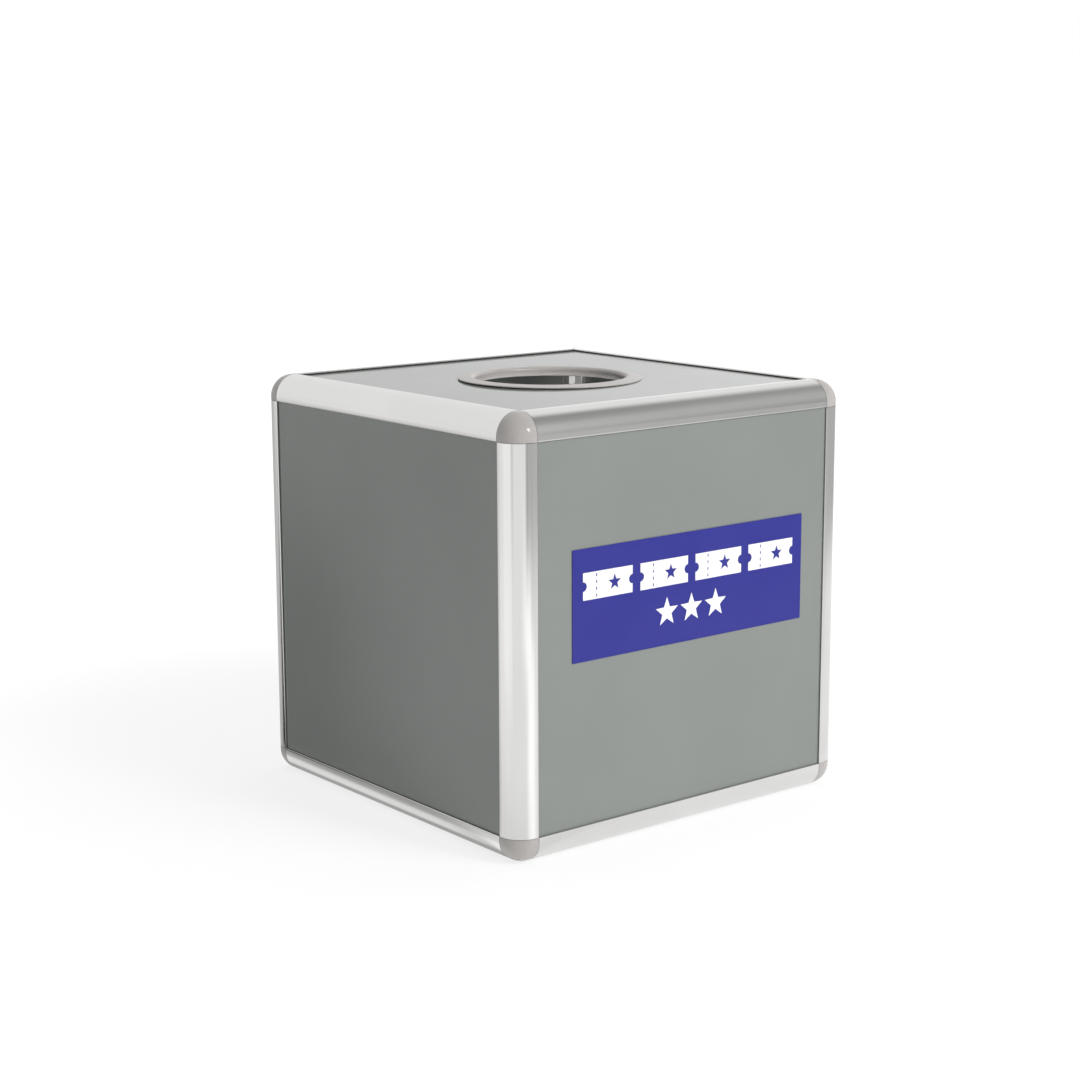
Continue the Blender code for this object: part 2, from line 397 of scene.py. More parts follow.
@dataclass(frozen=True)
class Finish:
    """One finish of the box, made into a procedural material."""

    name: str
    colour: Colour
    shade: Colour
    smooth: float
    rough: float
    texture: Texture = Texture.GRAIN
    relief_size: float = 0.0004
    relief_length: float = 0.060
    relief_height: float = 0.000002
    swell_size: float = 0.020
    swell_share: float = 1.0
    patch_size: float = 0.050
    patch_share: float = 0.5
    dust_size: float = 0.0009
    dust_share: float = 0.08
    dust: Colour = (0.52, 0.51, 0.49)
    metallic: float = 0.0
    index: float = 1.5

    def material(self, effects: Effects) -> Material:
        """Return this finish as a material.

        Args:
            effects: the shared node groups.

        Returns:
            The new material.
        """
        made = bpy.data.materials.new(self.name)
        made.use_nodes = True
        made.diffuse_color = (*self.colour, 1)
        tree = NodeTree(made.node_tree)
        drift = effects.drift.place(tree, {
            "Colour": (*self.colour, 1), "Shade": (*self.shade, 1),
            "Patch Size": self.patch_size, "Share": self.patch_share})
        dusty = effects.dust.place(tree, {
            "Colour": drift.outputs["Colour"], "Dust": (*self.dust, 1),
            "Speck Size": self.dust_size, "Share": self.dust_share})
        if self.texture is Texture.BRUSHED:
            relief = effects.lines.place(tree, {
                "Line Width": self.relief_size, "Line Length": self.relief_length})
            worn = relief.outputs["Mask"]
        else:
            relief = effects.grain.place(tree, {
                "Grain Size": self.relief_size, "Swell Size": self.swell_size,
                "Swell Share": self.swell_share})
            worn = drift.outputs["Mask"]
        bump = tree.add("Bump", {"Strength": 1.0, "Distance": self.relief_height,
                                 "Height": relief.outputs["Height"]})
        tree.fill(made.node_tree.nodes["Principled BSDF"], {
            "Base Color": dusty.outputs["Colour"], "Normal": bump.outputs[0],
            "Roughness": tree.ramp(worn, 0.0, 1.0, self.smooth, self.rough),
            "Metallic": self.metallic, "IOR": self.index})
        return made


class Effects:
    """The node groups that the finishes share."""

    def __init__(self) -> None:
        """Build each group once."""
        self.grain = MouldedGrain()
        self.lines = DrawnLines()
        self.drift = ColourDrift()
        self.dust = SettledDust()


SATIN_ALUMINIUM = Finish(
    "satin_aluminium", (0.86, 0.855, 0.845), (0.80, 0.795, 0.785), 0.12, 0.19,
    Texture.BRUSHED, relief_size=0.00035, relief_length=0.070, relief_height=0.0000012,
    patch_size=0.12, dust_share=0.05, metallic=1.0)
INNER_ALUMINIUM = Finish(
    "inner_aluminium", (0.74, 0.74, 0.73), (0.70, 0.70, 0.69), 0.42, 0.52,
    Texture.BRUSHED, relief_size=0.0006, relief_height=0.000002, patch_size=0.05,
    metallic=0.1)
# Painted shade: a dark dull grey laid on the slots and inner lips, where shade falls in the
# recesses.
PAINTED_SLOT_SHADE = Finish(
    "painted_shade_in_slots", (0.16, 0.16, 0.155), (0.10, 0.10, 0.098), 0.55, 0.68,
    Texture.BRUSHED, relief_size=0.0006, relief_height=0.000003, patch_size=0.03)
CORNER_PLASTIC = Finish(
    "moulded_corner_plastic", (0.396, 0.377, 0.363), (0.368, 0.351, 0.339), 0.10, 0.15,
    relief_size=0.0005, relief_height=0.0000010, swell_size=0.006, patch_size=0.009,
    patch_share=0.6, dust_share=0.06)
RING_PLASTIC = Finish(
    "moulded_ring_plastic", (0.422, 0.400, 0.384), (0.404, 0.383, 0.369), 0.28, 0.32,
    relief_size=0.0005, relief_height=0.0000004, swell_size=0.008, patch_size=0.030,
    patch_share=0.6, dust_share=0.05)
PANEL_SHEET = Finish(
    "grey_gloss_sheet", (0.220, 0.236, 0.222), (0.204, 0.217, 0.206), 0.06, 0.12,
    relief_size=0.0012, relief_height=0.0000018, swell_size=0.030, swell_share=2.0,
    patch_size=0.11, patch_share=0.55, dust_share=0.05)
LABEL_FILM = Finish(
    "blue_label_film", (0.013, 0.015, 0.226), (0.017, 0.019, 0.240), 0.30, 0.40,
    relief_size=0.0007, relief_height=0.000003, swell_size=0.012, patch_size=0.04,
    patch_share=0.6, dust_share=0.02)
LABEL_PRINT = Finish(
    "white_label_print", (0.84, 0.84, 0.83), (0.78, 0.79, 0.80), 0.34, 0.44,
    relief_size=0.0006, relief_height=0.000002, patch_size=0.02, dust_share=0.02)


@dataclass
class FrameSizes:
    """Sizes that the frame's profiles and corners share."""

    wall: float = 0.0010
    panel: float = 0.0025
    play: float = 0.0006
    gap: float = 0.0003
    chamber: float = 0.0106
    slot_depth: float = 0.0060
    flat: float = 0.0026
    edge: float = 0.0002
    lip_edge: float = 0.0003
    roll_width: float = 0.0010
    roll_drop: float = 0.00012
    roll_steps: int = 6
    round_steps: int = 32
    edge_steps: int = 4

    @property
    def slot_inner(self) -> float:
        """Return how deep the slot's inner wall lies."""
        return self.wall + self.panel + self.gap + self.play

    @property
    def section_inner(self) -> float:
        """Return how deep the inner lip reaches."""
        return self.slot_inner + self.wall

    @property
    def chamber_edge(self) -> float:
        """Return how far in the closed chamber reaches."""
        return self.wall + self.chamber

    @property
    def web(self) -> float:
        """Return where the slot's floor stands."""
        return self.chamber_edge + self.wall

    @property
    def leg(self) -> float:
        """Return the width of the profile's two sides."""
        return self.web + self.slot_depth

    @property
    def radius(self) -> float:
        """Return the radius of the rounded outer edge."""
        return self.leg - self.flat


def rounded(corners: list[Corner], steps: int, wide_steps: int = 0,
            wide: float = math.inf) -> list[Point]:
    """Return an outline with its corners rounded.

    Args:
        corners: each corner with its radius, which may be zero.
        steps: facets of a small round.
        wide_steps: facets of a wide round.
        wide: the radius from which a round counts as wide.

    Returns:
        The outline's points.
    """
    outline: list[Point] = []
    for number, (u, v, radius) in enumerate(corners):
        here = Vector((u, v))
        if not radius:
            outline.append((u, v))
            continue
        before = (Vector(corners[number - 1][:2]) - here).normalized()
        after = (Vector(corners[(number + 1) % len(corners)][:2]) - here).normalized()
        half = before.angle(after) / 2
        centre = here + (before + after).normalized() * radius / math.sin(half)
        first = here + before * radius / math.tan(half) - centre
        last = here + after * radius / math.tan(half) - centre
        sweep = first.angle_signed(last)
        count = wide_steps if radius >= wide else steps
        for step in range(count + 1):
            turned = first.copy()
            turned.rotate(Matrix.Rotation(-sweep * step / count, 2))
            outline.append((centre.x + turned.x, centre.y + turned.y))
    return outline


def arc(centre: Point, radius: float, start: float, end: float, steps: int) -> list[Point]:
    """Return points along an arc, both ends included."""
    turns = [start + (end - start) * step / steps for step in range(steps + 1)]
    return [(centre[0] + radius * math.cos(turn), centre[1] + radius * math.sin(turn))
            for turn in turns]


def inward_frame(signs: Sequence[int], along: int) -> tuple[Vector, Vector, Vector]:
    """Return unit directions for a section and its length.

    Args:
        signs: which edge or corner of the box, as a sign for each axis.
        along: the axis number of the length.

    Returns:
        Two directions inward from the edge and one along it, right-handed.
    """
    across = [axis for axis in range(3) if axis != along]
    inward = [Vector([-signs[axis] if item == axis else 0 for item in range(3)])
              for axis in across]
    length = Vector([1 if item == along else 0 for item in range(3)])
    if inward[0].cross(inward[1]).dot(length) < 0:
        inward.reverse()
    return inward[0], inward[1], length


def outer_point(low: Sequence[float], high: Sequence[float], signs: Sequence[int]) -> Vector:
    """Return a point of a box.

    Args:
        low: the box's lowest corner.
        high: its highest corner.
        signs: the end for each axis, or 0 for its middle.

    Returns:
        The point.
    """
    middle = [(first + last) / 2 for first, last in zip(low, high)]
    ends = {-1: low, 0: middle, 1: high}
    return Vector([ends[sign][item] for item, sign in enumerate(signs)])


def node_name(kind: str, signs: Sequence[int]) -> str:
    """Return a CAD node's name from its kind and the ends of the box that it joins."""
    ends = [axis.side(signs[axis.index]) for axis in reversed(Axis) if signs[axis.index]]
    return "_".join([kind, *ends])


def placed(directions: tuple[Vector, Vector, Vector], origin: Vector) -> Matrix:
    """Return the matrix that carries x, y and z to three directions at an origin."""
    return Matrix.Translation(origin) @ Matrix(directions).transposed().to_4x4()


def bridge(work: Work, lower: list[bmesh.types.BMVert], upper: list[bmesh.types.BMVert]) -> None:
    """Join two closed rings of points with a band of faces."""
    for number in range(len(lower)):
        work.faces.new((lower[number - 1], lower[number], upper[number], upper[number - 1]))


def settled(work: Work, name: str) -> Mesh:
    """Turn a bmesh into a mesh and free it.

    Args:
        work: the bmesh.
        name: the mesh's name.

    Returns:
        The new mesh.
    """
    mesh = bpy.data.meshes.new(name)
    work.to_mesh(mesh)
    work.free()
    return mesh


def welded(work: Work, name: str) -> Mesh:
    """Weld a bmesh and turn it into a mesh with smooth rounds and sharp edges.

    Args:
        work: the bmesh.
        name: the mesh's name.

    Returns:
        The new mesh.
    """
    bmesh.ops.remove_doubles(work, verts=work.verts, dist=WELD)
    bmesh.ops.recalc_face_normals(work, faces=work.faces)
    mesh = settled(work, name)
    mesh.shade_smooth()
    mesh.set_sharp_from_angle(angle=SHARP)
    return mesh


def linked(name: str, data: bpy.types.ID) -> Item:
    """Add an object to the scene.

    Args:
        name: the object's name.
        data: its mesh, curve, light or camera.

    Returns:
        The new object.
    """
    item = bpy.data.objects.new(name, data)
    bpy.context.scene.collection.objects.link(item)
    return item


def evaluated(source: Item, name: str) -> Mesh:
    """Return what an object shows, welded, and remove the object.

    Args:
        source: the object, with its modifiers.
        name: the new mesh's name.

    Returns:
        The welded mesh.
    """
    bpy.context.view_layer.update()
    shown = source.evaluated_get(bpy.context.evaluated_depsgraph_get())
    mesh = bpy.data.meshes.new_from_object(shown)
    bpy.data.objects.remove(source, do_unlink=True)
    work = bmesh.new()
    work.from_mesh(mesh)
    bpy.data.meshes.remove(mesh)
    return welded(work, name)


def flat_shape(name: str, outlines: list[list[Point]], thickness: float) -> Mesh:
    """Return outlines as one solid of even thickness about local Z.

    Args:
        name: the mesh's name.
        outlines: the outlines; one inside another is a hole.
        thickness: how thick the solid is.

    Returns:
        The solid's mesh.
    """
    curve = bpy.data.curves.new(name, "CURVE")
    curve.dimensions = "2D"
    curve.fill_mode = "BOTH"
    curve.extrude = thickness / 2
    for outline in outlines:
        spline = curve.splines.new("POLY")
        spline.points.add(len(outline) - 1)
        for point, (u, v) in zip(spline.points, outline):
            point.co = (u, v, 0, 1)
        spline.use_cyclic_u = True
    mesh = evaluated(linked(name, curve), name)
    bpy.data.curves.remove(curve)
    return mesh


def add_piece(name: str, mesh: Mesh, finishes: list[Material], place: Matrix,
              stands_for: str | None = None, level: bool = True) -> None:
    """Add one piece of the box to the scene.

    Args:
        name: the piece's name.
        mesh: its mesh.
        finishes: its materials in order.
        place: where it goes.
        stands_for: the CAD node that it replaces, if any.
        level: whether its flat faces keep level shading beside rounds.
    """
    piece = linked(name, mesh)
    for finish in finishes:
        mesh.materials.append(finish)
    piece.matrix_world = place
    if level:
        piece.modifiers.new("level_shading", "WEIGHTED_NORMAL").keep_sharp = True
    bpy.context.view_layer.update()
    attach(piece, BODY)
    if stands_for:
        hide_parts(stands_for)
    LOG.info("%s: %d faces", name, len(mesh.polygons))


@dataclass
class EdgeProfiles:
    """The four posts and eight rails of the frame."""

    sizes: FrameSizes = field(default_factory=FrameSizes)
    end_face: float = 0.5

    def skin(self) -> list[Point]:
        """Draw the outside of the section, with both slots and rolled lips.

        Returns:
            The outline's points.
        """
        s = self.sizes
        half: list[Corner] = [
            (s.leg, s.section_inner, s.edge), (s.leg, s.slot_inner, s.edge),
            (s.web, s.slot_inner, s.edge), (s.web, s.wall, s.edge), (s.leg, s.wall, s.edge),
            (s.leg, s.roll_drop, s.lip_edge)]
        for step in range(s.roll_steps - 1, -1, -1):
            share = step / s.roll_steps
            half.append((s.leg - s.roll_width * (1 - share), s.roll_drop * share ** 2, 0.0))
        mirrored = [(v, u, radius) for u, v, radius in reversed(half)]
        step_in: list[Corner] = [(s.section_inner, s.web, s.edge), (s.web, s.web, s.edge),
                                 (s.web, s.section_inner, s.edge)]
        return rounded(half + [(0.0, 0.0, s.radius)] + mirrored + step_in,
                       s.edge_steps, s.round_steps, s.radius)

    def chamber(self, inset: float = 0.0) -> list[Point]:
        """Draw the closed chamber of the section.

        Args:
            inset: how far it is drawn in on every side.

        Returns:
            The outline's points.
        """
        s = self.sizes
        edge = s.chamber_edge - inset
        radius = s.radius - s.wall - inset
        swing = math.acos((s.radius - edge) / radius)
        bend = arc((s.radius, s.radius), radius, math.pi * 1.5 - swing, math.pi + swing,
                   s.round_steps)
        return bend + [(edge, edge)]

    def finish_faces(self, mesh: Mesh) -> None:
        """Paint shade on the slots and inner lips; give the block between them the third finish.

        Args:
            mesh: one length of profile.
        """
        s = self.sizes
        for face in mesh.polygons:
            u, v = face.center.x, face.center.y
            deep, out = min(u, v), max(u, v)
            if abs(face.normal.z) > self.end_face or out < s.web - s.edge:
                continue
            if s.wall - s.edge < deep < s.slot_inner + s.edge / 2 and out < s.leg - s.edge:
                face.material_index = 1
            elif deep > s.slot_inner + s.edge:
                face.material_index = 2 if out < s.web + s.edge else 1

    def build(self, satin: Material, recess_shade: Material, inner: Material) -> None:
        """Add all twelve lengths of profile.

        Args:
            satin: the finish of the visible faces.
            recess_shade: painted shade inside the slots and on the inner lips.
            inner: the finish of the block between the inner lips.
        """
        for along, pair in product(Axis, product((-1, 1), repeat=2)):
            signs = list(pair)
            signs.insert(along.index, 0)
            node = node_name("post" if along is Axis.HEIGHT else "rail", signs)
            low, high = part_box(node)
            mesh = flat_shape(node + "_profile", [self.skin(), self.chamber()],
                              high[along.index] - low[along.index])
            self.finish_faces(mesh)
            place = placed(inward_frame(signs, along.index), outer_point(low, high, signs))
            add_piece(node + "_profile", mesh, [satin, recess_shade, inner], place,
                      node, level=False)


@dataclass
class MouldedCorners:
    """The eight three-way corners with their push-fit prongs."""

    profile: EdgeProfiles
    body_steps: int = 20
    prong_root: float = 0.0030
    prong_length: float = 0.0240
    prong_inset: float = 0.0003
    tip_inset: float = 0.0013
    tip_length: float = 0.0020
    rib_inset: float = 0.0001
    rib_count: int = 4
    rib_pitch: float = 0.0050
    rib_start: float = 0.0040
    rib_step: float = 0.00004
    rib_crest: float = 0.0004
    rib_ramp: float = 0.0012
    overrun: float = 0.0020

    def body(self) -> Item:
        """Make the rounded block of one corner, its outer vertex at zero.

        Returns:
            The block as a working object.
        """
        s = self.profile.sizes
        work = bmesh.new()
        bmesh.ops.create_cube(work, size=s.leg, matrix=Matrix.Translation((s.leg / 2,) * 3))
        outer = min(work.verts, key=lambda vertex: vertex.co.length)
        bmesh.ops.bevel(work, geom=[outer, *outer.link_edges], offset=s.radius,
                        offset_type="OFFSET", segments=self.body_steps, profile=0.5,
                        affect="EDGES")
        self.roll_lips(work)
        return self.tool("corner_blank", settled(work, "corner_blank"))

    def roll_lips(self, work: Work) -> None:
        """Let the corner's outer faces fall away towards the panels as the profiles' lips do.

        Args:
            work: the corner's block.
        """
        s = self.profile.sizes
        start = s.leg - s.roll_width
        for axis, step in product(range(3), range(s.roll_steps)):
            point, normal = Vector(), Vector()
            point[axis] = start + s.roll_width * step / s.roll_steps
            normal[axis] = 1
            bmesh.ops.bisect_plane(work, geom=[*work.verts, *work.edges, *work.faces],
                                   dist=WELD, plane_co=point, plane_no=normal)
        for vertex, axis in product(work.verts, range(3)):
            others = [vertex.co[item] for item in range(3) if item != axis]
            share = (min(others) - start) / s.roll_width
            if vertex.co[axis] < WELD and share > 0:
                vertex.co[axis] = s.roll_drop * share ** 2

    def tool(self, name: str, mesh: Mesh) -> Item:
        """Add a working object that is removed once the corner is whole.

        Args:
            name: its name.
            mesh: its mesh.

        Returns:
            The object.
        """
        item = linked(name, mesh)
        item.hide_render = True
        return item

    def block(self, low: list[float], high: list[float]) -> Item:
        """Make a cutting block.

        Args:
            low: its lowest corner.
            high: its highest corner.

        Returns:
            The block as a working object.
        """
        work = bmesh.new()
        bmesh.ops.create_cube(work, size=1)
        bmesh.ops.scale(work, vec=Vector(high) - Vector(low), verts=work.verts)
        bmesh.ops.translate(work, vec=(Vector(high) + Vector(low)) / 2, verts=work.verts)
        return self.tool("cutting_block", settled(work, "cutting_block"))

    def prong_stations(self) -> list[Point]:
        """List heights along a prong with how far its side is drawn in there.

        Returns:
            Pairs of height and inset.
        """
        tip = self.prong_root + self.prong_length
        stations = [(0.0, self.prong_inset)]
        for rib in range(self.rib_count):
            start = self.prong_root + self.rib_start + rib * self.rib_pitch
            stations += [(start, self.prong_inset), (start + self.rib_step, self.rib_inset),
                         (start + self.rib_crest, self.rib_inset),
                         (start + self.rib_ramp, self.prong_inset)]
        return stations + [(tip - self.tip_length, self.prong_inset), (tip, self.tip_inset)]

    def prong(self) -> Mesh:
        """Make one ribbed prong that fits the profile's chamber, along +Z.

        Returns:
            The prong's mesh.
        """
        work = bmesh.new()
        rings = [[work.verts.new((u, v, height)) for u, v in self.profile.chamber(inset)]
                 for height, inset in self.prong_stations()]
        for lower, upper in zip(rings, rings[1:]):
            bridge(work, lower, upper)
        work.faces.new(rings[0])
        work.faces.new(rings[-1])
        return welded(work, "ribbed_prong")

    def shape(self) -> Mesh:
        """Make one whole corner with its prongs along +X, +Y and +Z.

        Returns:
            The corner's mesh.
        """
        s = self.profile.sizes
        body = self.body()
        past = s.leg + self.overrun
        tools: list[tuple[Item, str]] = []
        for axis in range(3):
            for start, end in ((s.wall, s.slot_inner), (s.section_inner, past)):
                low, high = [s.web] * 3, [past] * 3
                low[axis], high[axis] = start, end
                tools.append((self.block(low, high), "DIFFERENCE"))
        prong_mesh = self.prong()
        for axis in range(3):
            prong = self.tool("corner_prong", prong_mesh)
            origin = Vector()
            origin[axis] = s.leg - self.prong_root
            prong.matrix_world = placed(inward_frame((-1, -1, -1), axis), origin)
            tools.append((prong, "UNION"))
        for item, operation in tools:
            join = body.modifiers.new(item.name, "BOOLEAN")
            join.operation, join.solver, join.object = operation, "EXACT", item
        mesh = evaluated(body, "moulded_corner")
        for item, _ in tools:
            bpy.data.objects.remove(item, do_unlink=True)
        return mesh

    def build(self, plastic: Material) -> None:
        """Add the eight corners, each turned to its own corner of the box.

        Args:
            plastic: their finish.
        """
        shape = self.shape()
        for signs in product((-1, 1), repeat=3):
            node = node_name("corner", signs)
            low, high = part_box(node)
            first, second, up = inward_frame(signs, 2)
            turned = (second, first, -up) if signs[2] > 0 else (first, second, up)
            add_piece(node + "_moulding", shape.copy(), [plastic],
                      placed(turned, outer_point(low, high, signs)), node)


@dataclass
class HandHoleRings:
    """The flanged ring that lines the hand hole, and the ring that clamps it."""

    sides: int = 160
    bore: float = 0.0545
    wall: float = 0.0020
    flange: float = 0.0100
    seat: float = 0.0035
    gap: float = 0.0003
    lift: float = 0.0006
    rest: float = 0.00005
    lift_side: float = math.radians(-165)
    rim: float = 0.0007
    rim_round: float = 0.0003
    rise: float = 0.0008
    crest: float = 0.0030
    dome_swell: float = 0.35
    clamp: float = 0.0016
    tail: float = 0.0002
    edge: float = 0.0003
    steps: int = 8

    def rim_height(self, turn: float) -> float:
        """Return how high the flange's rim stands off the panel; it rests on it on one side."""
        raised = (1 + math.cos(turn - self.lift_side)) / 2
        return self.rest + (self.gap + self.lift - self.rest) * raised ** 2

    def flange_section(self, sheet: float, under: float) -> list[Point]:
        """Draw the flanged ring's section, measured from the panel's face.

        Args:
            sheet: the panel's thickness.
            under: how high the rim stands off the panel.

        Returns:
            Points of radius and height.
        """
        sleeve = self.bore + self.wall
        outer = sleeve + self.flange
        crest = self.gap + self.lift + self.rim + self.rise
        end = -(sheet + self.gap + self.clamp + self.tail)
        rim_middle = (outer - self.rim_round, under + self.rim - self.rim_round)
        shoulder = arc(rim_middle, self.rim_round, math.pi / 2, 0, self.steps // 2)
        lower = [(outer, under + WELD), (outer - self.edge / 2, under),
                 (sleeve + self.seat, self.gap), (sleeve, self.gap), (sleeve, end + self.edge),
                 (sleeve - self.edge, end), (self.bore + self.edge, end),
                 (self.bore, end + self.edge)]
        throat = (self.bore + self.crest, crest - self.crest)
        mouth = arc(throat, self.crest, math.pi, math.pi / 2, 2 * self.steps)
        dome = []
        for step in range(1, self.steps):
            share = step / self.steps
            bulge = 1 - self.dome_swell * share * (1 - share)
            fall = (crest - under - self.rim) * share * bulge
            dome.append((throat[0] + (rim_middle[0] - throat[0]) * share, crest - fall))
        return shoulder + lower + mouth + dome

    def clamp_section(self, sheet: float) -> list[Point]:
        """Draw the clamping ring's section, measured from the panel's upper face.

        Args:
            sheet: the panel's thickness.

        Returns:
            Points of radius and height.
        """
        inner = self.bore + self.wall + self.gap
        outer = self.bore + self.wall + self.flange
        top = -(sheet + self.gap)
        under = top - self.clamp
        corners = [(inner, top, self.edge), (outer, top, self.edge),
                   (outer, under, 2 * self.edge), (inner, under, self.edge)]
        return rounded(corners, self.steps // 2)

    def turned(self, name: str, sections: list[list[Point]]) -> Mesh:
        """Make a ring about Z from one closed section for each of its sides.

        Args:
            name: the mesh's name.
            sections: points of radius and height for each side.

        Returns:
            The ring's mesh.
        """
        work = bmesh.new()
        rings = []
        for side, section in enumerate(sections):
            turn = math.tau * side / self.sides
            rings.append([work.verts.new((radius * math.cos(turn), radius * math.sin(turn), rise))
                          for radius, rise in section])
        for side, ring in enumerate(rings):
            bridge(work, rings[side - 1], ring)
        return welded(work, name)

    def build(self, plastic: Material) -> None:
        """Add both rings at the top panel.

        Args:
            plastic: their finish.
        """
        low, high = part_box("top_panel")
        sheet = high[2] - low[2]
        place = Matrix.Translation((0, 0, high[2]))
        heights = [self.rim_height(math.tau * side / self.sides) for side in range(self.sides)]
        sections = {"hole_ring": [self.flange_section(sheet, under) for under in heights],
                    "hole_clamp_ring": [self.clamp_section(sheet)] * self.sides}
        for node, rounds in sections.items():
            add_piece(node + "_moulding", self.turned(node + "_moulding", rounds), [plastic],
                      place, node, level=False)


@dataclass
class LabelPrint:
    """White pictures of tickets and stars printed on the blue label."""

    ink: float = 0.00004
    gap: float = 0.00001
    ticket_width: float = 0.0430
    ticket_height: float = 0.0185
    ticket_pitch: float = 0.0500
    ticket_count: int = 4
    notch: float = 0.0032
    notch_steps: int = 12
    hole_size: float = 0.0058
    top_row: float = 0.0125
    bottom_row: float = -0.0150
    star_size: float = 0.0105
    star_pitch: float = 0.0225
    star_count: int = 3
    star_points: int = 5
    star_waist: float = 0.42
    dash_width: float = 0.0009
    dash_height: float = 0.0021
    dash_count: int = 4
    stub_share: float = 0.27

    def star(self, centre: Point, size: float) -> list[Point]:
        """Draw a star.

        Args:
            centre: its middle.
            size: how far its points reach.

        Returns:
            The outline's points.
        """
        outline = []
        for step in range(2 * self.star_points):
            reach = size * self.star_waist if step % 2 else size
            turn = math.pi / 2 + math.tau * step / (2 * self.star_points)
            outline.append((centre[0] + reach * math.cos(turn),
                            centre[1] + reach * math.sin(turn)))
        return outline

    def ticket(self, centre: Point) -> list[list[Point]]:
        """Draw a ticket with notched ends, a row of perforations and a star cut out.

        Args:
            centre: its middle.

        Returns:
            The outline, then the outlines of what is cut out of it.
        """
        half_width, half_height = self.ticket_width / 2, self.ticket_height / 2
        x, y = centre
        right = arc((x + half_width, y), self.notch, math.pi * 1.5, math.pi / 2,
                    self.notch_steps)
        left = arc((x - half_width, y), self.notch, math.pi / 2, -math.pi / 2,
                   self.notch_steps)
        edge = ([(x - half_width, y - half_height), (x + half_width, y - half_height)] + right
                + [(x + half_width, y + half_height), (x - half_width, y + half_height)] + left)
        shapes = [edge, self.star((x + half_width * self.stub_share, y), self.hole_size)]
        tear = x - half_width + self.ticket_width * self.stub_share
        pitch = self.ticket_height / self.dash_count
        across, up = self.dash_width / 2, self.dash_height / 2
        for step in range(self.dash_count):
            middle = y - half_height + pitch * (step + 0.5)
            shapes.append([(tear - across, middle - up), (tear + across, middle - up),
                           (tear + across, middle + up), (tear - across, middle + up)])
        return shapes

    def row(self, count: int, pitch: float) -> list[float]:
        """Return evenly spaced places about the label's middle."""
        return [(step - (count - 1) / 2) * pitch for step in range(count)]

    def build(self, ink: Material) -> None:
        """Add the print on the label's face.

        Args:
            ink: its finish.
        """
        shapes: list[list[Point]] = []
        for x in self.row(self.ticket_count, self.ticket_pitch):
            shapes += self.ticket((x, self.top_row))
        for x in self.row(self.star_count, self.star_pitch):
            shapes.append(self.star((x, self.bottom_row), self.star_size))
        mesh = flat_shape("label_print", shapes, self.ink)
        low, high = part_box("front_label")
        middle = (Vector(low) + Vector(high)) / 2
        middle.y = low[1] - self.gap - self.ink / 2
        place = Matrix.Translation(middle) @ Matrix.Rotation(math.pi / 2, 4, "X")
        add_piece("label_print", mesh, [ink], place)


@dataclass
class PackedPieces:
    """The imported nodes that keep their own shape."""

    panels: tuple[str, ...] = ("front", "back", "left", "right", "top", "bottom")

    def dress(self, sheet: Material, film: Material) -> None:
        """Give the panels and the label their finishes.

        Args:
            sheet: the finish of the six panels.
            film: the finish of the label.
        """
        finishes = {side + "_panel": sheet for side in self.panels} | {"front_label": film}
        for node, finish in finishes.items():
            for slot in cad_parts[node].material_slots:
                slot.material = finish
            LOG.info("%s: kept as packed", node)


@dataclass
class PhotoCamera:
    """The camera at the photograph's viewing angle, with its angles in degrees."""

    lens: float = 72.03
    sensor: float = 36.0
    clip: Limits = (0.05, 60.0)
    place: Place = (-0.9785, -1.2097, 0.4846)
    azimuth: float = -38.6931
    elevation: float = 11.1025
    roll: float = -0.2082

    def build(self) -> None:
        """Add the camera and make it the scene's own."""
        turn, rise, roll = (math.radians(angle)
                            for angle in (self.azimuth, self.elevation, self.roll))
        back = Vector((math.sin(turn) * math.cos(rise), -math.cos(turn) * math.cos(rise),
                       math.sin(rise)))
        right = (-back).cross(Vector((0, 0, 1))).normalized()
        up = right.cross(-back)
        tilted = right * math.cos(roll) + up * math.sin(roll)
        upright = up * math.cos(roll) - right * math.sin(roll)
        data = bpy.data.cameras.new("camera")
        data.lens, data.sensor_width = self.lens, self.sensor
        data.clip_start, data.clip_end = self.clip
        camera = linked("camera", data)
        camera.matrix_world = placed((tilted, upright, back), Vector(self.place))
        bpy.context.scene.camera = camera


